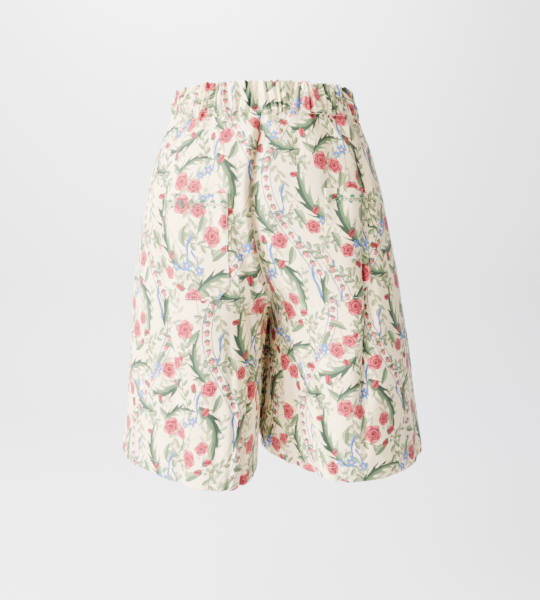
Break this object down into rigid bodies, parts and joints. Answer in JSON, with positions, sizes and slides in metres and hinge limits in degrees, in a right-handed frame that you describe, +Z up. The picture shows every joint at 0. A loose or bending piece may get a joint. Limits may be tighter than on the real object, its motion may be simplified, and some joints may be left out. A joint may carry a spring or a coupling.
{
  "type": "culottes",
  "caption": "Knee-length cotton culottes with a gathered elastic waist and patch pockets, hanging hollow as worn.",
  "frame": {"origin": "centre of the waist, halfway up the casing, where the wearer's waist holds the culottes", "axes": "+Z up along the body, front faces -Y, the wearer's left is +X"},
  "size_m": [0.5, 0.3055, 0.5661],
  "materials": {
    "panel_cloth": "matte printed cotton",
    "casing_cloth": "matte printed cotton, gathered",
    "pocket_cloth": "matte printed cotton"
  },
  "bodies": {
    "root": {"front_left": "panel_cloth", "front_right": "panel_cloth", "back_left": "panel_cloth", "back_right": "panel_cloth", "waist_casing": "casing_cloth", "pocket_left": "pocket_cloth", "pocket_right": "pocket_cloth"}
  },
  "joints": []
}
